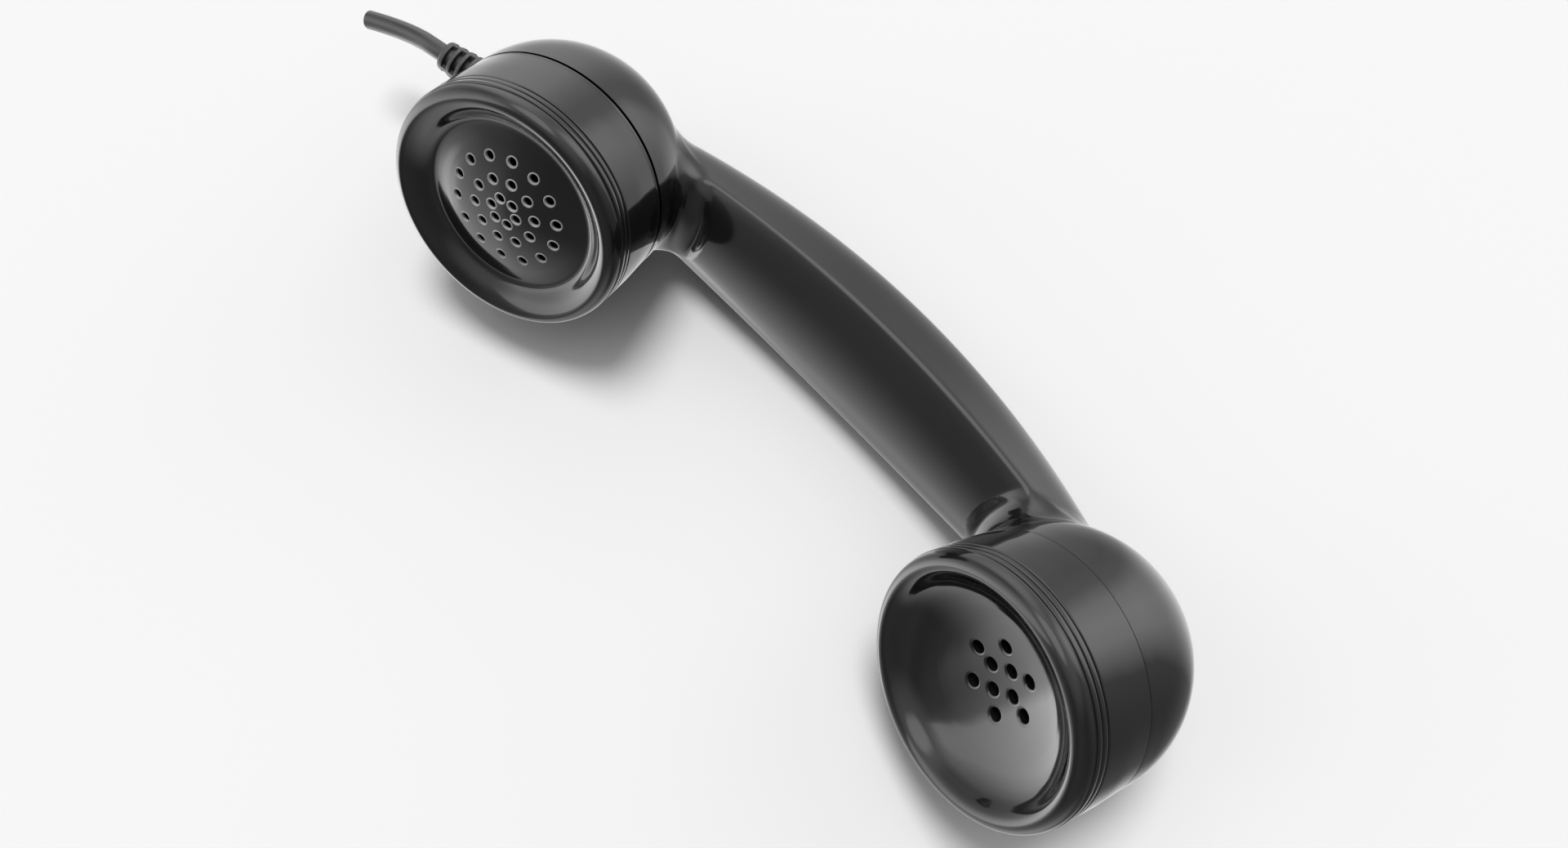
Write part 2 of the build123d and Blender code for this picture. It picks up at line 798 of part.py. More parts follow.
with BuildPart() as receiver_terminal_block:
    with BuildSketch(receiver.offset(well_bottom)):
        Rectangle(8, 6)
    extrude(amount=-3)
    for piece in leads:
        add(piece, mode=Mode.SUBTRACT)
keep(receiver_terminal_block.part, "receiver_terminal_block")
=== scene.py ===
import json
import math
import bmesh
import bpy
import numpy as np
from mathutils import Matrix, Vector
from mathutils.geometry import delaunay_2d_cdt


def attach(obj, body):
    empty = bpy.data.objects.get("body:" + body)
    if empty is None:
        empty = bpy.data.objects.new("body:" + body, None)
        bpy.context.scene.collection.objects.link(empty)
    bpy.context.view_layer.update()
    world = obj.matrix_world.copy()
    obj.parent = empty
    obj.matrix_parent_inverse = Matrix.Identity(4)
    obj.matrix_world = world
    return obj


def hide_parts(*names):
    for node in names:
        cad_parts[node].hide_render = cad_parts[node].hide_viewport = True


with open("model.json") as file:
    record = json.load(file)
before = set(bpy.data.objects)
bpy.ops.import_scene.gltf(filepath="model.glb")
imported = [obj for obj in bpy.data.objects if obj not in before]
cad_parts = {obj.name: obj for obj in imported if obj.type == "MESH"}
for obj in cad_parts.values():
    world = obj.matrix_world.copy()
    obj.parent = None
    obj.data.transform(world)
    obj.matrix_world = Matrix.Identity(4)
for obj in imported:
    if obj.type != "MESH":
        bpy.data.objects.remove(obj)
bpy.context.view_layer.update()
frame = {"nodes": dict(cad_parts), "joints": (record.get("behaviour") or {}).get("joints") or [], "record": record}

mm = 0.001

# two cups on one middle plane, read from the screw joints of the caps
turnJoints = {j["name"]: j for j in frame["joints"]}


def jointOf(cup):
    joint = turnJoints[cup + "_cap_turn"]
    return Vector(joint["pos_m"]), Vector(joint["axis"]).normalized()


mouthSeat, mouthAxis = jointOf("transmitter")
earSeat, earAxis = jointOf("receiver")
sideways = earAxis.cross(mouthAxis).normalized()  # out of the handset's middle plane


def cupMatrix(seat, axis):  # millimetres in a cup's own frame to metres, z out through the cap
    across = sideways.cross(axis).normalized()
    turn = Matrix((across, sideways, axis)).transposed().to_4x4()
    return Matrix.Translation(seat) @ turn @ Matrix.Scale(mm, 4)


mouthCup = cupMatrix(mouthSeat, mouthAxis)
earCup = cupMatrix(earSeat, earAxis)

shell = {  # the moulded body, millimetres
    "domeRadius": 29.7,
    "collar": 3.8,  # from the dome's centre out to the cap's seat
    "faceDepth": 23.15,  # behind the line through both centres, at the middle of the handle
    "faceArch": 475.0,  # radius
    "faceCrown": 4.8,
    "gripHalfWidth": 15.8,
    "gripPlanRadius": 574.0,
    "backDepth": 48.0,
    "backArch": 180.0,
    "ridgeRadius": 1.15,
    "reliefRadius": (35.7, 33.6),  # round the mouth cup and round the ear cup
    "reliefDraft": 0.42,
    "reliefDepth": (9.1, 7.9),
    "reliefFillet": 2.0,
    "lipRadius": 0.9,
    "neckRadius": (8.5, 5.0),  # in front and at the back
    "domeTop": 3.2,  # over the dome's centre
    "reliefLevel": 12.0,  # how far behind the dome's centre the relief's radius is taken
    "reliefScale": 0.92,  # turns the drafted wall's run into a distance
    "neckEase": (9.5, 19.0),  # where the neck's radius changes, behind the dome's centre
    "grid": 0.62,
    "fineGrid": 0.14,
    "fineReach": (1.1, 0.3),  # inwards and outwards of a ridge
    "bendReach": 60.0,  # the grid follows the handle no further from its middle
    "box": (38.4, -50, 14),  # half width, lowest and highest of the handset's grid
}
mouthCentre = mouthCup @ Vector((0, 0, -shell["collar"]))
earCentre = earCup @ Vector((0, 0, -shell["collar"]))
along = (earCentre - mouthCentre).normalized()
handsetUp = along.cross(sideways).normalized()
handset = (
    Matrix.Translation((mouthCentre + earCentre) / 2)
    @ Matrix((along, sideways, handsetUp)).transposed().to_4x4()
    @ Matrix.Scale(mm, 4)
)
cupGap = (earCentre - mouthCentre).length / mm

camera = {
    "place": (0.06096, -0.06945, 0.29879),
    "turn": (17.266, -0.949, 46.426),  # degrees, XYZ
    "lens": 28.8,
}


def makeCamera():
    data = bpy.data.cameras.new("camera")
    data.lens = camera["lens"]
    data.sensor_width = 36
    data.clip_start = 0.005
    obj = bpy.data.objects.new("camera", data)
    obj.location = camera["place"]
    obj.rotation_euler = [math.radians(a) for a in camera["turn"]]
    bpy.context.scene.collection.objects.link(obj)
    bpy.context.scene.camera = obj


makeCamera()
print("camera")


# one way to feed a socket and to add any node, and sums on sockets
def feed(tree, socket, value):  # a link or a plain value
    if isinstance(value, Sum):
        value = value.socket
    if isinstance(value, bpy.types.NodeSocket):
        tree.links.new(value, socket)
    else:
        socket.default_value = value


def addNode(tree, kind, settings=None, **sockets):
    made = tree.nodes.new(kind)
    for name, value in (settings or {}).items():
        if name == "stops":
            line = made.color_ramp.elements
            line[0].position, line[0].color = value[0]
            line[1].position, line[1].color = value[-1]
            for position, colour in value[1:-1]:
                line.new(position).color = colour
        else:
            setattr(made, name, value)
    for name, value in sockets.items():
        feed(tree, made.inputs[name.replace("_", " ")], value)
    return made


def mathNode(tree, operation, *values):
    made = addNode(tree, "ShaderNodeMath", {"operation": operation})
    for socket, value in zip(made.inputs, values):
        feed(tree, socket, value)
    return made


class Sum:
    def __init__(self, tree, socket):
        self.tree = tree
        self.socket = socket

    def maths(self, operation, first, second):
        return Sum(self.tree, mathNode(self.tree, operation, first, second).outputs[0])

    def __add__(self, other):
        return self.maths("ADD", self, other)

    def __radd__(self, other):
        return self.maths("ADD", other, self)

    def __sub__(self, other):
        return self.maths("SUBTRACT", self, other)

    def __rsub__(self, other):
        return self.maths("SUBTRACT", other, self)

    def __mul__(self, other):
        return self.maths("MULTIPLY", self, other)

    def __rmul__(self, other):
        return self.maths("MULTIPLY", other, self)


class Finish:  # one material and its node tree
    def __init__(self, name, **constants):
        self.material = bpy.data.materials.new(name)
        self.material.use_nodes = True
        self.tree = self.material.node_tree
        self.surface = self.tree.nodes["Principled BSDF"]
        for socket, value in constants.items():
            self.surface.inputs[socket.replace("_", " ")].default_value = value
        self.place = self.node("ShaderNodeTexCoord").outputs["Object"]

    def node(self, kind, settings=None, **sockets):
        return addNode(self.tree, kind, settings, **sockets)

    def noise(self, scale, detail=3.0, roughness=0.5, stretch=None):
        place = self.place
        if stretch:
            mapping = self.node("ShaderNodeMapping", Vector=place, Scale=stretch)
            place = mapping.outputs["Vector"]
        made = self.node("ShaderNodeTexNoise", Vector=place, Scale=scale, Detail=detail, Roughness=roughness)
        return Sum(self.tree, made.outputs["Fac"])

    def ramp(self, value, low, high):
        made = self.node("ShaderNodeMapRange", {"clamp": True}, Value=value, From_Min=low, From_Max=high)
        return Sum(self.tree, made.outputs["Result"])

    def mix(self, factor, first, second):
        made = self.node("ShaderNodeMix", {"data_type": "RGBA"})
        for slot, value in ((0, factor), (6, first), (7, second)):
            feed(self.tree, made.inputs[slot], value)
        return made.outputs[2]

    def bump(self, height, strength, distance):
        made = self.node("ShaderNodeBump", Height=height, Strength=strength, Distance=distance)
        self.to("Normal", made.outputs["Normal"])

    def to(self, socket, value):
        feed(self.tree, self.surface.inputs[socket], value)


def grey(level, blue=None):
    return (level, level, level if blue is None else blue, 1)


def glossyMoulding(name, base, rough):
    made = Finish(name, IOR=1.5, Specular_IOR_Level=0.5)
    dust = made.ramp(made.noise(900, 4, 0.6), 0.74, 0.9)
    wear = made.ramp(made.noise(38, 5, 0.62), 0.35, 0.75)
    tone = made.mix(wear, grey(base * 0.85, base * 0.88), grey(base * 1.15, base * 1.17))
    made.to("Base Color", made.mix(dust * 0.1, tone, grey(0.03)))
    made.to("Roughness", rough + wear * 0.03 + dust * 0.04)
    made.bump(made.noise(110, 2, 0.5), 0.012, 0.0004)
    return made.material


def softRubber(name, base, rough):
    made = Finish(name, IOR=1.48)
    grain = made.noise(2400, 3, 0.6)
    worn = made.ramp(made.noise(120, 4, 0.6), 0.4, 0.7)
    made.to("Base Color", made.mix(worn, grey(base, base * 1.05), grey(base * 1.5, base * 1.55)))
    made.to("Roughness", rough + worn * 0.08 + grain * 0.05)
    made.bump(grain, 0.15, 0.00008)
    return made.material


def plainMetal(name, colour, rough, grain=(1, 1, 1)):
    made = Finish(name)
    scratch = made.noise(700, 4, 0.65, stretch=grain)
    tarnish = made.ramp(made.noise(90, 5, 0.6), 0.45, 0.8)
    dark = tuple(c * 0.55 for c in colour) + (1,)
    made.to("Base Color", made.mix(tarnish * 0.6, colour + (1,), dark))
    made.to("Roughness", rough + scratch * 0.12 + tarnish * 0.2)
    made.surface.inputs["Metallic"].default_value = 1.0
    made.bump(scratch, 0.08, 0.00005)
    return made.material


def dullPlastic(name, colour, rough, speckle=0.0):
    made = Finish(name, IOR=1.5)
    grain = made.noise(1300, 4, 0.6)
    tone = made.ramp(made.noise(60, 4, 0.55), 0.3, 0.7)
    low = tuple(c * 0.8 for c in colour) + (1,)
    high = tuple(min(1, c * (1.15 + speckle)) for c in colour) + (1,)
    made.to("Base Color", made.mix(tone, low, high))
    made.to("Roughness", rough + grain * 0.1)
    made.bump(grain, 0.2, 0.00006)
    return made.material


finishes = {
    "moulded_shell": glossyMoulding("mouldedShell", 0.0035, 0.085),
    "moulded_caps": glossyMoulding("mouldedCaps", 0.0035, 0.07),
    # paler than the moulding: a painted highlight that stands in for the bright reflections round the holes' lips
    "drilled_edges": dullPlastic("drilledEdgesPaintedHighlight", (0.13, 0.13, 0.13), 0.3),
    "cord_jacket": softRubber("cordJacket", 0.007, 0.24),
    "strain_relief_rubber": softRubber("strainRelief", 0.012, 0.36),
    "gasket_rubber": softRubber("gasketRubber", 0.03, 0.6),
    "core_red": dullPlastic("coreRed", (0.42, 0.03, 0.03), 0.4),
    "core_green": dullPlastic("coreGreen", (0.04, 0.24, 0.08), 0.4),
    "core_white": dullPlastic("coreWhite", (0.72, 0.7, 0.64), 0.4),
    "phenolic": dullPlastic("phenolic", (0.13, 0.055, 0.025), 0.35, 0.3),
    "contact_brass": plainMetal("contactBrass", (0.7, 0.5, 0.22), 0.22),
    "capsule_aluminium": plainMetal("capsuleAluminium", (0.7, 0.71, 0.72), 0.28, (1, 1, 0.1)),
    "carbon": dullPlastic("carbonGrains", (0.02, 0.02, 0.02), 0.7, 1.0),
    "felt": dullPlastic("feltRing", (0.5, 0.48, 0.43), 0.9, 0.2),
    "soft_iron": plainMetal("softIron", (0.42, 0.42, 0.43), 0.34, (1, 0.1, 1)),
    "coil_copper": plainMetal("coilCopper", (0.6, 0.26, 0.12), 0.3, (0.1, 1, 1)),
}
slotOf = {s["node"]: s["material_slot"] for s in frame["record"]["subparts"]}
for node, obj in frame["nodes"].items():
    obj.data.materials.clear()
    obj.data.materials.append(finishes[slotOf[node]])
print("materials")

# cord: a short stub, cut square
cordRoute = {
    "points": [(-27.588, 0.0, 0.0), (-40.488, 0.0, 0.0)],  # distance along the strain relief's axis
    "steps": [(-12.9, -2.0, 1.2), (-11.4, -4.7, 2.7)],  # each from the point before, in the handset's frame
    "diameter": 4.6,
    "below": 11.0,  # the relief's axis, behind the dome's centre
}
reliefLine = mouthCup @ Matrix.Translation((0, 0, -shell["collar"] - cordRoute["below"]))


def makeCord():
    points = [reliefLine @ Vector(p) for p in cordRoute["points"]]
    points += [points[-1] + handset.to_3x3() @ Vector(cordRoute["steps"][0])]
    points += [points[-1] + handset.to_3x3() @ Vector(cordRoute["steps"][1])]
    data = bpy.data.curves.new("cord", "CURVE")
    data.dimensions = "3D"
    spline = data.splines.new("NURBS")
    spline.points.add(len(points) - 1)
    for point, place in zip(spline.points, points):
        point.co = (*place, 1)
    spline.order_u = 3
    spline.use_endpoint_u = True
    spline.resolution_u = 24
    data.bevel_depth = cordRoute["diameter"] / 2 * mm
    data.bevel_resolution = 12
    data.use_fill_caps = True
    data.materials.append(finishes["cord_jacket"])
    obj = bpy.data.objects.new("cordJacket", data)
    bpy.context.scene.collection.objects.link(obj)
    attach(obj, "handset")
    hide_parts("cord_jacket")
    return obj


cord = makeCord()


def addObject(name, mesh, body, slotName, *nodes):
    obj = bpy.data.objects.new(name, mesh)
    bpy.context.scene.collection.objects.link(obj)
    if not mesh.materials:
        mesh.materials.append(finishes[slotName])
    mesh.polygons.foreach_set("use_smooth", [True] * len(mesh.polygons))
    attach(obj, body)
    if nodes:
        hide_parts(*nodes)
    return obj


def meshFrom(bm, name):
    mesh = bpy.data.meshes.new(name)
    bm.to_mesh(mesh)
    bm.free()
    return mesh


def smoothBelow(mesh, angle):  # smooth, with a crease where the faces turn by more than the angle
    mesh.polygons.foreach_set("use_smooth", [True] * len(mesh.polygons))
    mesh.set_sharp_from_angle(angle=math.radians(angle))


def openEdges(bm):
    return sum(1 for e in bm.edges if not e.is_manifold)


def ringPoint(radius, turn, height=0.0):  # turn in radians
    return Vector((radius * math.cos(turn), radius * math.sin(turn), height))


def turnedRings(bm, profile, segments, place):  # profile of (radius, height), poles where the radius is 0
    rings = []
    for radius, height in profile:
        if radius < 1e-6:
            rings.append([bm.verts.new(place @ Vector((0, 0, height)))])
            continue
        turns = [2 * math.pi * k / segments for k in range(segments)]
        rings.append([bm.verts.new(place @ ringPoint(radius, turn, height)) for turn in turns])
    for low, high in zip(rings, rings[1:]):
        for k in range(segments):
            after = (k + 1) % segments
            corners = [low[k % len(low)], low[after % len(low)], high[after % len(high)], high[k % len(high)]]
            corners = [v for i, v in enumerate(corners) if v not in corners[:i]]
            bm.faces.new(corners)
    return rings


def finer(points, step):  # the same outline with more points on its long straight parts
    out = [points[0]]
    for a, b in zip(points, points[1:]):
        parts = max(1, int(math.dist(a, b) / step))
        for k in range(1, parts + 1):
            out.append((a[0] + (b[0] - a[0]) * k / parts, a[1] + (b[1] - a[1]) * k / parts))
    return out


def softCorners(points, radius):  # an open outline with its corners rounded by a small radius
    out = [points[0]]
    for before, corner, after in zip(points, points[1:], points[2:]):
        a, b, c = (np.array(p, float) for p in (before, corner, after))
        first, second = (a - b) / np.linalg.norm(a - b), (c - b) / np.linalg.norm(c - b)
        cut = min(radius, np.linalg.norm(a - b) * 0.45, np.linalg.norm(c - b) * 0.45)
        for t in (0.0, 0.25, 0.5, 0.75, 1.0):
            p, q = b + first * cut * (1 - t), b + second * cut * t
            out.append(tuple(p * (1 - t) + q * t))
    out.append(points[-1])
    return out


# the moulded body: one skin round handle and domes, found from distances
def sagitta(radius, x):
    return radius - np.sqrt(radius**2 - x**2)


def roundedMeet(a, b, radius):  # inside both, the outer corner rounded
    return (
        np.minimum(np.maximum(a + radius, b + radius), 0)
        + np.hypot(np.maximum(a + radius, 0), np.maximum(b + radius, 0))
        - radius
    )


def roundedJoin(a, b, radius):  # inside either, the inner corner filled
    return -roundedMeet(-a, -b, radius)


def easeIn(value, low, high):
    t = np.clip((value - low) / (high - low), 0, 1)
    return t * t * (3 - 2 * t)


def gripAt(x):
    x = np.clip(x, -cupGap / 2, cupGap / 2)
    half = shell["gripHalfWidth"] - sagitta(shell["gripPlanRadius"], x)
    face = -shell["faceDepth"] + sagitta(shell["faceArch"], x)
    back = -shell["backDepth"] + sagitta(shell["backArch"], x)
    return half, face, back


cupsInHandset = [
    (np.array(handset.inverted() @ centre), np.array((handset.inverted().to_3x3() @ axis).normalized()))
    for centre, axis in ((mouthCentre, mouthAxis), (earCentre, earAxis))
]


def heightAndRadius(x, s, z, centre, axis):
    dx, ds, dz = x - centre[0], s - centre[1], z - centre[2]
    height = dx * axis[0] + ds * axis[1] + dz * axis[2]
    reach = dx**2 + ds**2 + dz**2
    return height, np.sqrt(np.maximum(reach - height**2, 0)), np.sqrt(reach)


def bodyDistance(x, s, z):  # millimetres from the skin, negative inside
    half, face, back = gripAt(x)
    across, down = s / half, (z - face) / (face - back)
    spread = np.sqrt(across**2 + down**2) + 1e-9
    oval = (spread - 1) * spread / np.sqrt((across / half) ** 2 + (down / (face - back)) ** 2 + 1e-12)
    crownRadius = (half**2 + shell["faceCrown"] ** 2) / (2 * shell["faceCrown"])
    level = np.hypot(s, z - face - shell["faceCrown"] + crownRadius) - crownRadius
    grip = roundedMeet(oval, level, shell["ridgeRadius"])
    grip = np.maximum(grip, np.abs(x) - cupGap / 2)
    domes, necks = [], []
    for (centre, axis), relief, deep in zip(cupsInHandset, shell["reliefRadius"], shell["reliefDepth"]):
        height, radius, reach = heightAndRadius(x, s, z, centre, axis)
        dome = np.where(height > 0, radius, reach) - shell["domeRadius"]
        domes.append(np.maximum(dome, height - shell["domeTop"]))
        drafted = relief + shell["reliefDraft"] * (height + shell["reliefLevel"])
        wall = (drafted - radius) * shell["reliefScale"]
        outsideRelief = roundedJoin(wall, height + deep, shell["reliefFillet"])
        grip = roundedMeet(grip, outsideRelief, shell["lipRadius"])
        front, behind = shell["neckRadius"]
        necks.append(front + (behind - front) * easeIn(-height, *shell["neckEase"]))
    for dome, neck in zip(domes, necks):
        grip = roundedJoin(grip, dome, neck)
    return grip


def slopeAt(points, step=0.02):
    slope = np.empty_like(points)
    for k in range(3):
        ahead, behind = points.copy(), points.copy()
        ahead[:, k] += step
        behind[:, k] -= step
        slope[:, k] = (bodyDistance(*ahead.T) - bodyDistance(*behind.T)) / (2 * step)
    return slope


def gridLines(low, high, fineAt=()):  # even lines, closer together beside each ridge
    lines = list(np.arange(low, high + shell["grid"], shell["grid"]))
    for place in fineAt:
        sign = math.copysign(1, place)
        inwards, outwards = shell["fineReach"]
        a, b = sorted((place - inwards * sign, place + outwards * sign))
        lines = [v for v in lines if v < a - 0.1 or v > b + 0.1]
        lines += list(np.arange(a, b + 0.01, shell["fineGrid"]))
    return np.array(sorted(lines))


def skinGrid():  # lines along x, s and z, with both ridges on lines of their own
    reachX = cupGap / 2 + shell["domeRadius"] + 1.5
    reachS, bottom, top = shell["box"]
    return (
        gridLines(-reachX, reachX),
        gridLines(-reachS, reachS, (shell["gripHalfWidth"], -shell["gripHalfWidth"])),
        gridLines(bottom, top, (-shell["faceDepth"],)),
    )


def bent(x, u, v):  # the grid follows the handle's width and face
    halfMiddle, faceMiddle = gripAt(np.array(0.0))[:2]
    half, face = gripAt(np.clip(x, -shell["bendReach"], shell["bendReach"]))[:2]
    return x, u * half / halfMiddle, v + face - faceMiddle


def distancesOn(lines):
    s, z = bent(lines[0][:, None, None], lines[1][None, :, None], lines[2][None, None, :])[1:]
    field = np.empty([len(line) for line in lines])
    layer = field.shape[1:]
    for i, place in enumerate(lines[0]):
        others = [np.broadcast_to(values[i], layer) for values in (s, z)]
        field[i] = bodyDistance(np.full(layer, place), *others)
    return field


def skinCells(inside):  # the grid's cells that the skin passes through
    nx, ns, nz = (n - 1 for n in inside.shape)
    sides = (0, 1)
    corners = [inside[i:nx + i, j:ns + j, k:nz + k] for i in sides for j in sides for k in sides]
    count = sum(corner.astype(np.int8) for corner in corners)
    return np.argwhere((count > 0) & (count < 8))


def cellMiddles(cells, field, lines):  # mean of the places where each cell's edges cross the skin
    total, hits = np.zeros((len(cells), 3)), np.zeros(len(cells))
    for axis in range(3):
        others = [a for a in range(3) if a != axis]
        for steps in ((0, 0), (0, 1), (1, 0), (1, 1)):
            low = cells.copy()
            low[:, others] += steps
            high = low.copy()
            high[:, axis] += 1
            fa, fb = field[tuple(low.T)], field[tuple(high.T)]
            crossing = (fa < 0) != (fb < 0)
            t = np.where(crossing, fa / np.where(crossing, fa - fb, 1), 0)
            place = np.stack([lines[k][low[:, k]] for k in range(3)], 1)
            place[:, axis] += t * (lines[axis][high[:, axis]] - lines[axis][low[:, axis]])
            total += place * crossing[:, None]
            hits += crossing
    return total / hits[:, None]


def settled(points):  # the same points, moved on to the skin
    for step in range(6):
        slope = slopeAt(points)
        size = np.maximum((slope**2).sum(1), 0.05)
        shift = -(bodyDistance(*points.T) / size)[:, None] * slope
        points += np.clip(shift, -0.3, 0.3)
    return points


def cellQuads(cells, inside):  # one face round each of the grid's edges that cross the skin
    number = np.full([n - 1 for n in inside.shape], -1)
    number[tuple(cells.T)] = np.arange(len(cells))
    quads = []
    for axis in range(3):
        a, b = [k for k in range(3) if k != axis]
        ahead, behind = [slice(None)] * 3, [slice(None)] * 3
        ahead[axis], behind[axis] = slice(1, None), slice(None, -1)
        edges = np.argwhere(inside[tuple(ahead)] != inside[tuple(behind)])
        edges = edges[(edges[:, a] > 0) & (edges[:, b] > 0)]
        ring = []
        for da, db in ((0, 0), (1, 0), (1, 1), (0, 1)):
            cell = edges.copy()
            cell[:, a] -= da
            cell[:, b] -= db
            ring.append(number[tuple(cell.T)])
        quads.append(np.stack(ring, 1))
    quads = np.concatenate(quads)
    return quads[(quads >= 0).all(1)]


def skinMesh():
    lines = skinGrid()
    field = distancesOn(lines)
    inside = field < 0
    cells = skinCells(inside)
    points = np.stack(bent(*cellMiddles(cells, field, lines).T), 1)
    return settled(points), cellQuads(cells, inside)


neck = {  # the cup above the seam and its inside, millimetres
    "profile": [  # in the cup's frame
        (29.7, -1.6), (29.7, -0.02), (29.68, 0.0), (27.25, 0.0), (27.0, 0.25), (27.0, 8.6), (26.6, 9.0),
        (24.5, 9.0), (24.2, 8.7), (24.2, -4.0), (15.0, -4.0), (15.0, -22.8), (0, -22.8),
    ],
    "round": 0.12,  # on the profile's corners
    "step": 1.2,
    "segments": 288,
    "cut": 2.2,  # height over the dome's centre where the skin gives way to the turned neck
    "reach": 31.0,  # a little more than the cup's radius
    "inside": (28.0, 29.0),  # points this near the cup's axis and centre are its inside
    "tolerance": 0.02,  # between a point and the skin that it lies on
}


def isNearCup(vert, centre, axis):
    away = vert.co - centre
    height = away.dot(axis)
    return height > 0.5 and (away - axis * height).length < neck["reach"]


def cutForCup(bm, centre, axis):  # gives the edges of the hole that is left in the skin
    near = [v for v in bm.verts if isNearCup(v, centre, axis)]
    chosen = set(near)
    edges = [e for e in bm.edges if e.verts[0] in chosen and e.verts[1] in chosen]
    faces = [f for f in bm.faces if all(v in chosen for v in f.verts)]
    done = bmesh.ops.bisect_plane(
        bm, geom=near + edges + faces, dist=1e-5,
        plane_co=centre + axis * neck["cut"], plane_no=axis, clear_outer=True,
    )
    return [e for e in done["geom_cut"] if isinstance(e, bmesh.types.BMEdge)]


def addNeck(bm, loop, cup):
    profile = finer(softCorners(neck["profile"], neck["round"]), neck["step"])
    rings = turnedRings(bm, profile, neck["segments"], handset.inverted() @ cup)
    rim = [e for v in rings[0] for e in v.link_edges if e.other_vert(v) in set(rings[0])]
    bmesh.ops.bridge_loops(bm, edges=loop + list(set(rim)))


def skinNormals(mesh):  # the mesh's own normals, and exact ones at the points that lie on the skin
    places = np.empty(len(mesh.vertices) * 3)
    mesh.vertices.foreach_get("co", places)
    places = places.reshape(-1, 3)
    normals = np.array([v.normal for v in mesh.vertices])
    onSkin = np.abs(bodyDistance(*places.T)) < neck["tolerance"]
    insideRadius, insideReach = neck["inside"]
    for centre, axis in cupsInHandset:
        height, radius, reach = heightAndRadius(*places.T, centre, axis)
        onSkin &= ~((height > neck["cut"] + 0.01) & (radius < neck["reach"]))
        onSkin &= ~((radius < insideRadius) & (reach < insideReach))
    slope = slopeAt(places[onSkin])
    normals[onSkin] = slope / np.linalg.norm(slope, axis=1)[:, None]
    return normals


def makeBody():
    points, quads = skinMesh()
    print("body skin", len(points), "points")
    bm = bmesh.new()
    verts = [bm.verts.new(p) for p in points]
    for quad in quads:
        bm.faces.new([verts[k] for k in quad])
    bm.verts.index_update()
    loops = [cutForCup(bm, Vector(centre), Vector(axis)) for centre, axis in cupsInHandset]
    for loop, cup in zip(loops, (mouthCup, earCup)):
        addNeck(bm, loop, cup)
    bmesh.ops.delete(bm, geom=[v for v in bm.verts if not v.link_faces], context="VERTS")
    bmesh.ops.recalc_face_normals(bm, faces=bm.faces)
    unclosed = openEdges(bm)
    mesh = meshFrom(bm, "mouldedBody")
    normals = skinNormals(mesh)
    mesh.transform(handset)
    mesh.polygons.foreach_set("use_smooth", [True] * len(mesh.polygons))
    turn = np.array(handset.to_3x3().normalized())
    mesh.normals_split_custom_set_from_vertices([tuple(n) for n in normals @ turn.T])
    print("body", len(mesh.polygons), "faces, open edges", unclosed)
    return addObject("mouldedBody", mesh, "handset", "moulded_shell", "handset_body")


makeBody()


# caps: turned outside, with a pierced middle let into it
def smoothThrough(keys, steps):  # a curve through the keys, evenly rounded
    keys = [np.array(k, float) for k in keys]
    ends = [2 * keys[0] - keys[1]] + keys + [2 * keys[-1] - keys[-2]]
    out = []
    for a, b, c, d in zip(ends, ends[1:], ends[2:], ends[3:]):
        for k in range(steps):
            t = k / steps
            out.append(tuple(0.5 * (
                2 * b + (c - a) * t + (2 * a - 5 * b + 4 * c - d) * t**2 + (3 * b - 3 * c + d - a) * t**3
            )))
    return out + [tuple(keys[-1])]


capShape = {  # shared by both caps, millimetres: radius and height over the seam
    "skirt": 30.0,
    "grooves": (13.0, 14.6, 16.2),
    "grooveDepth": 0.5,
    "grooveHalf": 0.25,
    "bore": 27.3,
    "shoulder": 11.7,
    "segments": 288,
    "holeSteps": 32,
    "discGrid": 0.62,
    "discClear": 0.3,  # no grid point nearer a rim than this
    "roll": [(29.86, 16.66), (29.8, 17.3), (29.6, 18.05), (29.25, 18.75), (28.75, 19.35), (28.1, 19.8)],
    "grooveCut": ((-1.2, 0.02), (-1, 0.1), (-0.5, 0.85), (0, 1.0), (0.5, 0.85), (1, 0.1), (1.2, 0.02)),
}
mouthCap = {
    "name": "mouthCap",
    "seam": 0.055,
    "join": 15.4,  # the turned part ends and the pierced middle starts
    "top": lambda r: 18.35 - r**2 / 148,
    "under": lambda r: 15.9 - 1.5 * (r / 15.2) ** 2,
    "face": [
        (27.4, 20.0), (26.7, 19.83), (26.0, 19.5), (25.2, 19.02), (24.4, 18.43), (23.7, 17.8), (23.0, 17.1),
        (22.4, 16.52), (21.9, 16.14), (21.5, 15.93), (21.1, 15.82), (20.6, 15.79), (20.0, 15.85),
        (19.0, 16.02), (18.0, 16.21), (17.0, 16.42), (16.2, 16.59), (15.4, 16.75),
    ],
    "below": [(24.2, 11.7), (24.2, 13.0), (17.0, 13.0), (15.4, 14.36)],
    "hole": 1.05,
    "rim": 1.52,
    "rimProud": 0.13,
    "rings": ((3.35, 6, 1.0), (8.0, 10, 19.0), (13.4, 14, 21.0)),  # radius, count, first angle
}
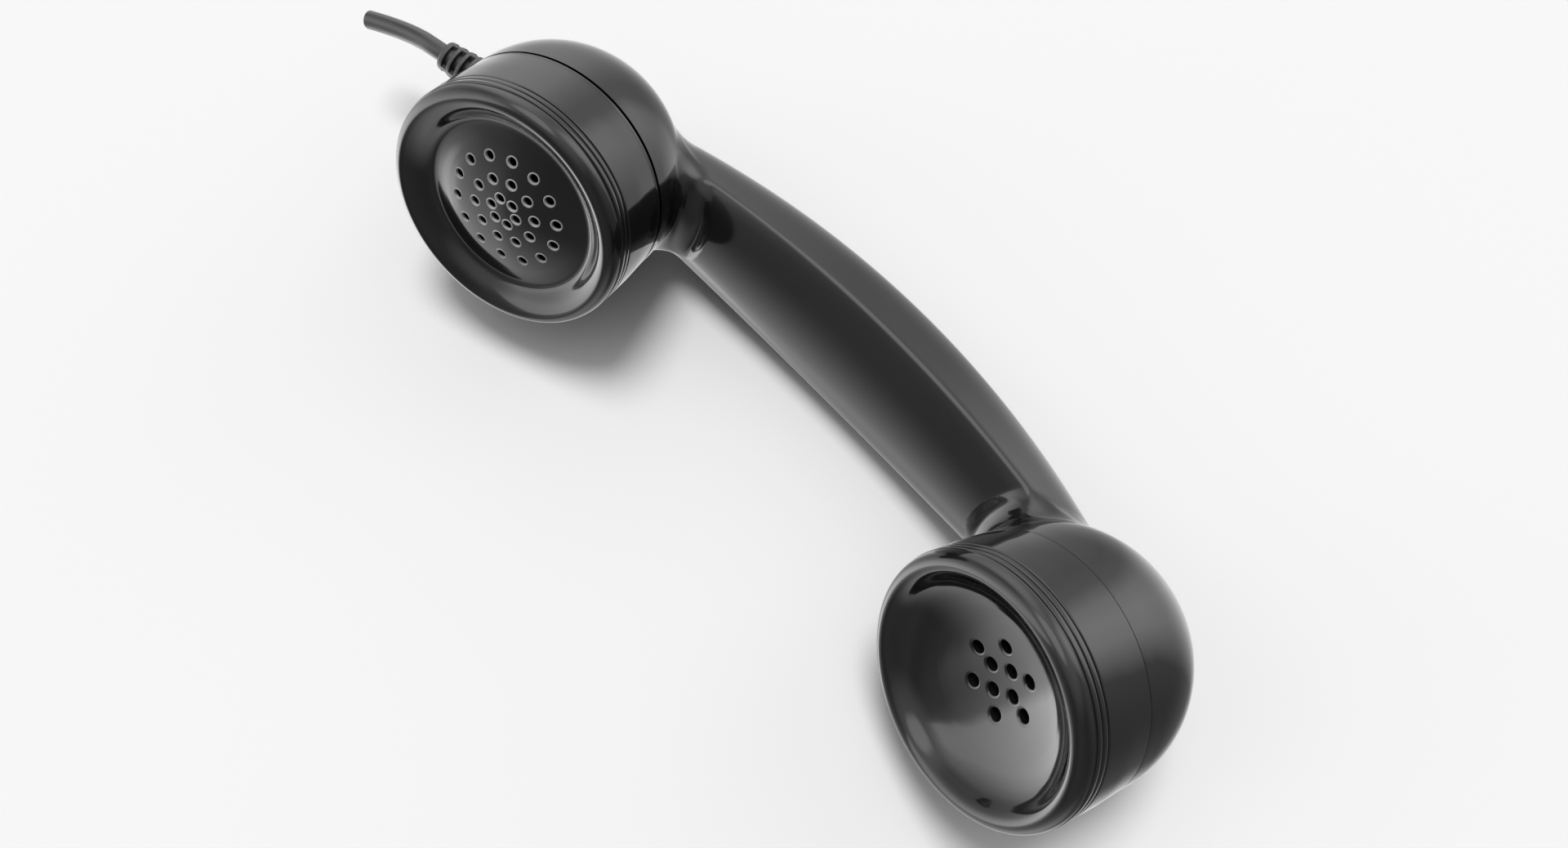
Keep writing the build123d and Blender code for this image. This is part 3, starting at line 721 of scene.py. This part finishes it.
earCap = {
    "name": "earCap",
    "seam": 0.15,
    "join": 12.0,
    "top": lambda r: 10.08 + r**2 / 114,
    "under": lambda r: 49.75 - np.sqrt(1849 - r**2),
    "face": [
        (27.4, 20.0), (26.9, 19.97), (26.4, 19.8), (25.8, 19.4), (25.1, 18.62), (24.4, 17.65), (23.7, 16.72),
        (23.0, 15.96), (22.0, 15.1), (21.0, 14.42), (20.0, 13.86), (19.0, 13.4), (18.0, 13.0), (17.0, 12.63),
        (16.0, 12.32), (15.0, 12.04), (14.0, 11.79), (13.0, 11.56), (12.0, 11.343),
    ],
    "below": [(24.2, 11.7), (24.2, 14.2), (21.0, 11.6), (16.0, 9.84), (12.0, 8.458)],
    "hole": 1.45,
    "rim": 2.12,
    "rimProud": 0.0,
    "rings": ((3.95, 4, 1.5), (8.4, 6, 2.0)),
}


def skirtProfile(seam):
    skirt, half, deep = capShape["skirt"], capShape["grooveHalf"], capShape["grooveDepth"]
    edge, top = (29.72, seam + 0.03), 12.4
    out = [(capShape["bore"], 0.3), (27.6, 0.02), (28.9, 0.02), (29.0, seam), (29.69, seam), edge]
    for k in range(1, 9):
        out.append((edge[0] + (skirt - edge[0]) * min(1, k / 4), edge[1] + (top - edge[1]) * k / 8))
    for middle in capShape["grooves"]:
        out += [(skirt - depth * deep, middle + offset * half) for offset, depth in capShape["grooveCut"]]
        if middle != capShape["grooves"][-1]:
            out.append((skirt, middle + 0.8))
    return out


def holePlaces(cap):
    return [
        (radius * math.cos(a), radius * math.sin(a))
        for radius, count, first in cap["rings"]
        for a in (math.radians(first) + 2 * math.pi * k / count for k in range(count))
    ]


def discPoints(cap):  # flat: the outer rim, the rim of each hole and an even grid between them
    segments, around, step = capShape["segments"], capShape["holeSteps"], capShape["discGrid"]
    clear, places = capShape["discClear"], holePlaces(cap)
    points = [ringPoint(cap["join"], 2 * math.pi * k / segments).xy for k in range(segments)]
    for cx, cy in places:
        for k in range(around):
            a = 2 * math.pi * k / around
            points.append(Vector((cx + cap["rim"] * math.cos(a), cy + cap["rim"] * math.sin(a))))
    reach = int(cap["join"] / step) + 1
    for i in range(-reach, reach + 1):
        for j in range(-reach, reach + 1):
            x, y = (i + 0.5 * (j % 2)) * step, j * step * 0.866
            fromHoles = min(math.hypot(x - cx, y - cy) for cx, cy in places)
            if math.hypot(x, y) <= cap["join"] - clear and fromHoles >= cap["rim"] + clear:
                points.append(Vector((x, y)))
    return points


# fills the cap's two open rims and joins them through the holes
def piercedDisc(bm, cap, place, outerTop, outerUnder):
    segments, around = capShape["segments"], capShape["holeSteps"]
    flat = discPoints(cap)
    holes = [segments + around * k for k in range(len(holePlaces(cap)))]
    edges = [(k, (k + 1) % segments) for k in range(segments)]
    edges += [(first + k, first + (k + 1) % around) for first in holes for k in range(around)]
    filled = delaunay_2d_cdt(flat, edges, [], 1, 1e-6)
    points, faces, origin = filled[0], filled[2], filled[3]
    source, ring = {}, {}
    for index, came in enumerate(origin):
        for number in came:
            source[number] = index
            ring[index] = (number - segments) // around if segments <= number < holes[-1] + around else -1
    faces = [f for f in faces if len({ring[v] for v in f}) > 1 or ring[f[0]] < 0]
    layers = []
    for height, outer, flip in ((cap["top"], outerTop, False), (cap["under"], outerUnder, True)):
        made = {}
        made.update((source[k], outer[k]) for k in range(segments))
        for f in faces:
            for v in f:
                if v not in made:
                    p = points[v]
                    made[v] = bm.verts.new(place @ Vector((p.x, p.y, float(height(math.hypot(p.x, p.y))))))
        for f in faces:
            bm.faces.new([made[v] for v in (reversed(f) if flip else f)])
        layers.append(made)
    for first in holes:
        for k in range(around):
            a, b = source[first + k], source[first + (k + 1) % around]
            bm.faces.new([layers[0][a], layers[1][a], layers[1][b], layers[0][b]])


def makeCap(cap, cup, body, node):
    bm = bmesh.new()
    roll = smoothThrough(capShape["roll"] + cap["face"], steps=4)
    outside = roll[::-1] + skirtProfile(cap["seam"])[::-1]
    inside = [(capShape["bore"], height) for height in (4.0, 8.0, capShape["shoulder"])] + cap["below"]
    rings = turnedRings(bm, outside + inside, capShape["segments"], cup)
    piercedDisc(bm, cap, cup, rings[0], rings[-1])
    bmesh.ops.recalc_face_normals(bm, faces=bm.faces)
    unclosed = openEdges(bm)
    mesh = meshFrom(bm, cap["name"])
    smoothBelow(mesh, angle=38)
    print(cap["name"], len(mesh.polygons), "faces, open edges", unclosed)
    return addObject(cap["name"], mesh, body, "moulded_caps", node)


makeCap(mouthCap, mouthCup, "transmitter_cap", "transmitter_cap")
makeCap(earCap, earCup, "receiver_cap", "receiver_cap")


# rounded rims of the holes, set round each ring by geometry nodes
rimShape = {
    "overlap": 0.03,  # into the wall round it, millimetres
    "lift": 0.015,  # over the face
    "fall": 0.55,  # how far the lip drops, as a share of its width
    "swell": 1.25,  # a proud lip swells over its width divided by this
    "steps": 12,
    "wall": 2.7,  # depth of the bore
    "liner": 0.62,  # depth of a lip painted pale as a highlight, with a plain bore under it
}


def rimProfile(cap, wall):  # a closed outline (distance from the hole's middle, height over the face)
    hole, rim, proud = cap["hole"], cap["rim"], cap["rimProud"]
    lip, outside, steps = rim - hole, rim + rimShape["overlap"], rimShape["steps"]
    out = [(outside, -wall), (outside, -0.05), (rim - 0.02, rimShape["lift"])]
    for k in range(1, steps + 1):
        t = k / steps
        swell = proud * math.sin(math.pi * min(1, t * rimShape["swell"]))
        drop = lip * rimShape["fall"] * (1 - math.cos(math.pi / 2 * t))
        out.append((rim - lip * math.sin(math.pi / 2 * t), rimShape["lift"] + swell - drop))
    return out + [(hole, -wall)]


def rimParts(cap):
    wall, liner = rimShape["wall"], rimShape["liner"]
    if not cap["rimProud"]:
        return [("Rims", rimProfile(cap, wall), "moulded_caps")]
    outside, inside = cap["rim"] + rimShape["overlap"], cap["hole"] - 0.01
    bore = [(outside, -wall), (outside, -liner), (inside, -liner + 0.06), (inside, -wall)]
    # a proud lip takes the pale finish, a painted highlight, over a plain bore
    return [("Rims", rimProfile(cap, liner), "drilled_edges"), ("Bores", bore, "moulded_caps")]


def rimMesh(name, outline):
    bm = bmesh.new()
    around = capShape["holeSteps"]
    rings = turnedRings(bm, outline, around, Matrix.Identity(4))
    for k in range(around):
        after = (k + 1) % around
        bm.faces.new([rings[-1][k], rings[-1][after], rings[0][after], rings[0][k]])
    bmesh.ops.recalc_face_normals(bm, faces=bm.faces)
    return meshFrom(bm, name)


def nodeTree(name, *inputs):  # a geometry tree with named inputs: (name, kind, value)
    tree = bpy.data.node_groups.new(name, "GeometryNodeTree")
    tree.interface.new_socket("Geometry", in_out="INPUT", socket_type="NodeSocketGeometry")
    tree.interface.new_socket("Geometry", in_out="OUTPUT", socket_type="NodeSocketGeometry")
    for label, kind, value in inputs:
        socket = tree.interface.new_socket(label, in_out="INPUT", socket_type=kind)
        if value is not None:
            socket.default_value = value
    return tree, tree.nodes.new("NodeGroupInput"), tree.nodes.new("NodeGroupOutput")


def plainMesh(name, start, tree, values):  # runs the tree once and keeps the mesh only
    carrier = bpy.data.objects.new(name, start)
    bpy.context.scene.collection.objects.link(carrier)
    modifier = carrier.modifiers.new(name, "NODES")
    modifier.node_group = tree
    for item in tree.interface.items_tree:
        if item.item_type == "SOCKET" and item.in_out == "INPUT" and item.name in values:
            modifier[item.identifier] = values[item.name]
    depsgraph = bpy.context.evaluated_depsgraph_get()
    mesh = bpy.data.meshes.new_from_object(carrier.evaluated_get(depsgraph))
    carrier.modifiers.remove(modifier)
    bpy.data.objects.remove(carrier)
    return mesh


def ringTree(material):  # a shape repeated round a circle, tipped to follow the face's slope
    tree, given, out = nodeTree(
        "holeRing",
        ("Shape", "NodeSocketObject", None),
        ("Radius", "NodeSocketFloat", 8.0),
        ("Count", "NodeSocketInt", 10),
        ("First angle", "NodeSocketFloat", 0.0),
        ("Height", "NodeSocketFloat", 18.0),
        ("Slope", "NodeSocketFloat", 0.0),
    )
    points = addNode(tree, "GeometryNodePoints", Count=given.outputs["Count"])
    index = addNode(tree, "GeometryNodeInputIndex")
    share = mathNode(tree, "DIVIDE", index.outputs[0], given.outputs["Count"])
    turn = mathNode(tree, "MULTIPLY_ADD", share.outputs[0], 2 * math.pi, given.outputs["First angle"])
    start = addNode(tree, "ShaderNodeCombineXYZ", X=given.outputs["Radius"], Z=given.outputs["Height"])
    spun = addNode(
        tree, "ShaderNodeVectorRotate", {"rotation_type": "Z_AXIS"},
        Vector=start.outputs[0], Angle=turn.outputs[0],
    )
    tip = addNode(tree, "ShaderNodeCombineXYZ", Y=given.outputs["Slope"], Z=turn.outputs[0])
    placed = addNode(tree, "GeometryNodeSetPosition", Geometry=points.outputs[0], Position=spun.outputs[0])
    shape = addNode(tree, "GeometryNodeObjectInfo", Object=given.outputs["Shape"])
    many = addNode(
        tree, "GeometryNodeInstanceOnPoints",
        Points=placed.outputs[0], Instance=shape.outputs["Geometry"], Rotation=tip.outputs[0],
    )
    real = addNode(tree, "GeometryNodeRealizeInstances", Geometry=many.outputs[0])
    painted = addNode(tree, "GeometryNodeSetMaterial", Geometry=real.outputs[0], Material=material)
    tree.links.new(painted.outputs[0], out.inputs[0])
    return tree


def makeRims(cap, cup, body, part, outline, finishName):
    name, finish = cap["name"] + part, finishes[finishName]
    tree = ringTree(finish)
    shape = bpy.data.objects.new(name + "Shape", rimMesh(name + "Shape", outline))
    bpy.context.scene.collection.objects.link(shape)
    bm = bmesh.new()
    for radius, count, first in cap["rings"]:
        slope = (cap["top"](radius + 0.01) - cap["top"](radius - 0.01)) / 0.02
        ring = plainMesh("holeRing", bpy.data.meshes.new("empty"), tree, {
            "Shape": shape,
            "Radius": radius,
            "Count": count,
            "First angle": math.radians(first),
            "Height": float(cap["top"](radius)),
            "Slope": -math.atan(float(slope)),
        })
        bm.from_mesh(ring)
        bpy.data.meshes.remove(ring)
    bpy.data.objects.remove(shape)
    mesh = meshFrom(bm, name)
    mesh.transform(cup)
    mesh.materials.append(finish)
    smoothBelow(mesh, angle=50)
    print(cap["name"], part.lower(), len(mesh.polygons), "faces")
    return addObject(name, mesh, body, "moulded_caps")


for cap, cup, capBody in ((mouthCap, mouthCup, "transmitter_cap"), (earCap, earCup, "receiver_cap")):
    for part in rimParts(cap):
        makeRims(cap, cup, capBody, *part)


# screw threads: a ridge wound round each spigot
threadShape = {"lead": 3.0, "turns": 2.5, "start": 1.0, "radius": 26.96, "height": 0.24, "half": 0.9}


def threadTree(material):
    tree, given, out = nodeTree(
        "screwThread",
        ("Lead", "NodeSocketFloat", 3.0),
        ("Turns", "NodeSocketFloat", 2.5),
        ("Radius", "NodeSocketFloat", 27.0),
        ("Ridge height", "NodeSocketFloat", 0.24),
        ("Ridge half width", "NodeSocketFloat", 0.9),
    )
    rise = mathNode(tree, "MULTIPLY", given.outputs["Lead"], given.outputs["Turns"])
    spiral = addNode(
        tree, "GeometryNodeCurveSpiral", Resolution=96, Rotations=given.outputs["Turns"],
        Start_Radius=given.outputs["Radius"], End_Radius=given.outputs["Radius"], Height=rise.outputs[0],
    )
    upright = addNode(tree, "GeometryNodeSetCurveNormal", Curve=spiral.outputs[0])
    upright.mode = "Z_UP"
    ridge = addNode(tree, "GeometryNodeCurvePrimitiveCircle", Resolution=10, Radius=1.0)
    scale = addNode(
        tree, "ShaderNodeCombineXYZ",
        X=given.outputs["Ridge height"], Y=given.outputs["Ridge half width"], Z=1.0,
    )
    flat = addNode(tree, "GeometryNodeTransform", Geometry=ridge.outputs[0], Scale=scale.outputs[0])
    tube = addNode(
        tree, "GeometryNodeCurveToMesh",
        Curve=upright.outputs[0], Profile_Curve=flat.outputs[0], Fill_Caps=True,
    )
    real = addNode(tree, "GeometryNodeRealizeInstances", Geometry=tube.outputs[0])
    painted = addNode(tree, "GeometryNodeSetMaterial", Geometry=real.outputs[0], Material=material)
    tree.links.new(painted.outputs[0], out.inputs[0])
    return tree


def makeThreads():
    tree = threadTree(finishes["moulded_shell"])
    bm = bmesh.new()
    for cup in (mouthCup, earCup):
        mesh = plainMesh("screwThread", bpy.data.meshes.new("empty"), tree, {
            "Lead": threadShape["lead"],
            "Turns": threadShape["turns"],
            "Radius": threadShape["radius"],
            "Ridge height": threadShape["height"],
            "Ridge half width": threadShape["half"],
        })
        mesh.transform(cup @ Matrix.Translation((0, 0, threadShape["start"])))
        bm.from_mesh(mesh)
        bpy.data.meshes.remove(mesh)
    bmesh.ops.recalc_face_normals(bm, faces=bm.faces)
    mesh = meshFrom(bm, "screwThreads")
    mesh.materials.append(finishes["moulded_shell"])
    print("threads", len(mesh.polygons), "faces")
    return addObject("screwThreads", mesh, "handset", "moulded_shell")


makeThreads()


# strain relief: a tapered rubber boot with windows through its wall
boot = {
    "start": 26.9,  # distances along its axis, from the cup's axis
    "end": 41.39,
    "baseRadius": 5.0,
    "tipRadius": 3.62,
    "sleeve": 2.7,  # the radius at the bottom of the windows
    "windowLength": 1.5,
    "windowPitch": 2.5,
    "tip": 1.7,
    "rows": 3,
    "columns": 3,
    "windowAngle": 101.0,  # how far round one window goes
    "turn": 41.0,
    "shoulder": 0.7,
    "taperStart": 28.4,
    "hole": 2.32,
    "ring": 0.3,  # about the length of one row of faces
    "windowSteps": 24,
    "ribSteps": 8,
    "bevel": 0.12,
}


def bootSpans():  # where each row of windows starts and ends
    last = boot["end"] - boot["tip"]
    length, pitch = boot["windowLength"], boot["windowPitch"]
    return [(last - length - k * pitch, last - k * pitch) for k in reversed(range(boot["rows"]))]


def bootRows(spans):  # rings of points along the axis, one at both ends of each window
    marks = [boot["start"], *(mark for span in spans for mark in span), boot["end"]]
    rows = []
    for a, b in zip(marks, marks[1:]):
        parts = max(1, round((b - a) / boot["ring"]))
        rows += [a + (b - a) * k / parts for k in range(parts)]
    return rows + [boot["end"]]


def bootAngles():  # degrees, one at both sides of each window
    half, pitch = boot["windowAngle"] / 2, 360 / boot["columns"]
    windowSteps, ribSteps = boot["windowSteps"], boot["ribSteps"]
    angles = []
    for column in range(boot["columns"]):
        middle = boot["turn"] + pitch * column
        start, end, after = middle - half, middle + half, middle - half + pitch
        angles += [start + (end - start) * k / windowSteps for k in range(windowSteps)]
        angles += [end + (after - end) * k / ribSteps for k in range(ribSteps)]
    return angles


def bootRadius(t):  # straight, then tapered, with a rounded shoulder at the tip
    base, taper, shoulder = boot["baseRadius"], boot["taperStart"], boot["shoulder"]
    radius = base + (boot["tipRadius"] - base) * (t - taper) / (boot["end"] - taper)
    radius = min(radius, base)
    left = boot["end"] - t
    if left < shoulder:
        radius -= shoulder - math.sqrt(max(shoulder**2 - (shoulder - left) ** 2, 0))
    return radius


def makeBoot():
    spans = bootSpans()
    rows, angles = bootRows(spans), bootAngles()
    around, last = len(angles), len(rows) - 1
    place = reliefLine @ Matrix(((0, 0, -1, 0), (0, 1, 0, 0), (1, 0, 0, 0), (0, 0, 0, 1)))
    bm = bmesh.new()
    verts = {}

    def vert(i, j, deep):
        key = (i, j % around, deep)
        if key not in verts:
            radius = boot["sleeve"] if deep else bootRadius(rows[i])
            verts[key] = bm.verts.new(place @ ringPoint(radius, math.radians(angles[j % around]), rows[i]))
        return verts[key]

    def isWindow(i, j):
        if not 0 <= i < last:
            return False
        middle = (rows[i] + rows[i + 1]) / 2
        inColumn = (j % around) % (boot["windowSteps"] + boot["ribSteps"]) < boot["windowSteps"]
        return inColumn and any(low < middle < high for low, high in spans)

    def wall(a, b):  # a window's side, from the outside down to the sleeve
        bm.faces.new([vert(*a, 0), vert(*b, 0), vert(*b, 1), vert(*a, 1)])

    for i in range(last):
        for j in range(around):
            deep = isWindow(i, j)
            corners = ((i, j), (i, j + 1), (i + 1, j + 1), (i + 1, j))
            bm.faces.new([vert(*corner, deep) for corner in corners])
            if deep != isWindow(i + 1, j) and i + 1 < last:
                wall((i + 1, j), (i + 1, j + 1))
            if deep != isWindow(i, j + 1):
                wall((i, j + 1), (i + 1, j + 1))
    bores = []
    for i in (0, last):
        turns = [math.radians(angle) for angle in angles]
        bore = [bm.verts.new(place @ ringPoint(boot["hole"], turn, rows[i])) for turn in turns]
        for j in range(around):
            bm.faces.new([vert(i, j, 0), vert(i, j + 1, 0), bore[(j + 1) % around], bore[j]])
        bores.append(bore)
    for j in range(around):
        after = (j + 1) % around
        bm.faces.new([bores[0][j], bores[0][after], bores[1][after], bores[1][j]])
    bmesh.ops.recalc_face_normals(bm, faces=bm.faces)
    sharp = [e for e in bm.edges if e.calc_face_angle(0) > math.radians(40)]
    bmesh.ops.bevel(
        bm, geom=sharp, offset=boot["bevel"] * mm, segments=2, profile=0.5, affect="EDGES", clamp_overlap=True
    )
    unclosed = openEdges(bm)
    mesh = meshFrom(bm, "strainRelief")
    smoothBelow(mesh, angle=50)
    print("strain relief", len(mesh.polygons), "faces, open edges", unclosed)
    return addObject("strainRelief", mesh, "handset", "strain_relief_rubber", "cord_strain_relief")


def declareCord(piecesOnIt):
    spline = cord.data.splines[0]
    tuple(spline.points[0].co[:3])


declareCord([makeBoot()])

# stage: pale floor, soft light
stageLook = {"floor": 0.295, "size": 6.0}


def makeStage():
    made = Finish("paleFloor", Roughness=0.9)
    shade = made.noise(3, 2, 0.5)
    pale = stageLook["floor"]
    made.to("Base Color", made.mix(shade * 0.04, grey(pale), grey(pale * 0.98)))
    mesh = bpy.data.meshes.new("floor")
    half = stageLook["size"] / 2
    corners = [(-half, -half, 0), (half, -half, 0), (half, half, 0), (-half, half, 0)]
    mesh.from_pydata(corners, [], [(0, 1, 2, 3)])
    mesh.materials.append(made.material)
    floor = bpy.data.objects.new("floor", mesh)
    bpy.context.scene.collection.objects.link(floor)
    floor.visible_glossy = False


keyLight = {"strength": 5.6, "azimuth": 138, "elevation": 74, "spread": 22}  # angles in degrees


def makeKeyLight():
    data = bpy.data.lights.new("keyLight", "SUN")
    data.energy = keyLight["strength"]
    data.angle = math.radians(keyLight["spread"])
    obj = bpy.data.objects.new("keyLight", data)
    azimuth, elevation = math.radians(keyLight["azimuth"]), math.radians(keyLight["elevation"])
    away = Vector((
        math.cos(azimuth) * math.cos(elevation), math.sin(azimuth) * math.cos(elevation), math.sin(elevation)
    ))
    obj.location = away
    obj.rotation_euler = (-away).to_track_quat("-Z", "Y").to_euler()
    obj.visible_glossy = False  # it only lifts the floor
    bpy.context.scene.collection.objects.link(obj)


makeKeyLight()
makeStage()


# the studio is all in the world: soft panels round the table, dimmer towards +X and -Y
room = {
    "round": [  # azimuth in degrees and how bright the walls are there
        (-180, 0.8), (-168, 1.3), (-158, 1.8), (-146, 2.4), (-136, 3.1), (-124, 3.1), (-118, 2.9),
        (-115, 0.9), (-108, 0.5), (-98, 0.4), (-85, 0.25), (-75, 0.25), (-60, 0.35), (-35, 0.3),
        (-5, 0.2), (20, 0.3), (45, 0.45), (54, 1.2), (64, 1.9), (76, 2.1), (86, 1.8), (96, 0.95),
        (106, 0.85), (116, 1.1), (128, 1.5), (145, 1.65), (158, 1.5), (166, 0.8), (180, 0.8),
    ],
    "peak": 3.2,
    "backLow": -0.35,  # what the walls behind gain, low down and from there to high up
    "backRise": 0.9,
    "leftLow": 1.25,  # the glow off the table, left and right of the front
    "rightLow": 1.1,
    "rightFrom": (-102, -95),  # degrees
    "ceiling": (-0.6, 0.75, 1.25),  # along X, along Y and in the middle
    "overhead": (-0.17, 0.05, 0.984),  # a soft box over the table
    "overheadEdge": (0.925, 0.98),
    "overheadGlow": 1.7,
    "under": 0.9,  # from straight below
    "backdrop": 0.93,  # past the floor the camera meets only a pale wall
}


def makeRoom():
    world = bpy.data.worlds.new("room")
    world.use_nodes = True
    bpy.context.scene.world = world
    tree = world.node_tree
    for node in list(tree.nodes):
        if node.type != "OUTPUT_WORLD" and node.type != "BACKGROUND":
            tree.nodes.remove(node)
    lamp = tree.nodes["Background"]
    lamp.inputs["Color"].default_value = (1, 1, 1, 1)

    def soft(value, low, high):
        settings = {"clamp": True, "interpolation_type": "SMOOTHSTEP"}
        made = addNode(tree, "ShaderNodeMapRange", settings, Value=value, From_Min=low, From_Max=high)
        return Sum(tree, made.outputs["Result"])

    facing = addNode(tree, "ShaderNodeTexCoord").outputs["Generated"]
    split = addNode(tree, "ShaderNodeSeparateXYZ", Vector=facing)
    x, y, z = (Sum(tree, split.outputs[k]) for k in range(3))
    azimuth = y.maths("ARCTAN2", y, x)
    stops = [((a + 180) / 360, grey(v / room["peak"])) for a, v in room["round"]]
    turn = azimuth * (0.5 / math.pi) + 0.5  # 0 to 1
    ramp = addNode(tree, "ShaderNodeValToRGB", {"stops": stops}, Fac=turn)
    walls = Sum(tree, ramp.outputs[0]) * room["peak"]
    back = soft(y, 0.0, 0.6)
    walls = walls * (1 + back * (soft(z, -0.4, 0.5) * room["backRise"] + room["backLow"]))
    rightFrom, rightTo = (math.radians(a) for a in room["rightFrom"])
    right = soft(azimuth, rightFrom, rightTo)
    low = soft(z * -1, -0.35, 0.65) * room["leftLow"] * (1 - right)
    low = (low + soft(z * -1, 0.15, 0.7) * room["rightLow"] * right) * soft(y * -1, 0.1, 0.6)
    alongX, alongY, middle = room["ceiling"]
    ceiling = middle + x * alongX + y * alongY
    share = soft(z, 0.62, 0.93)
    underShare = soft(z * -1, 0.7, 0.95)
    light = (walls + low) * (1 - share) + ceiling * share
    overhead = x * room["overhead"][0] + y * room["overhead"][1] + z * room["overhead"][2]
    light = light + soft(overhead, *room["overheadEdge"]) * room["overheadGlow"]
    light = light * (1 - underShare) + underShare * room["under"]
    seen = Sum(tree, addNode(tree, "ShaderNodeLightPath").outputs["Is Camera Ray"])
    light = light * (1 - seen) + seen * room["backdrop"]
    tree.links.new(light.socket, lamp.inputs["Strength"])


makeRoom()
bpy.context.scene.view_settings.view_transform = "Standard"
print("stage")
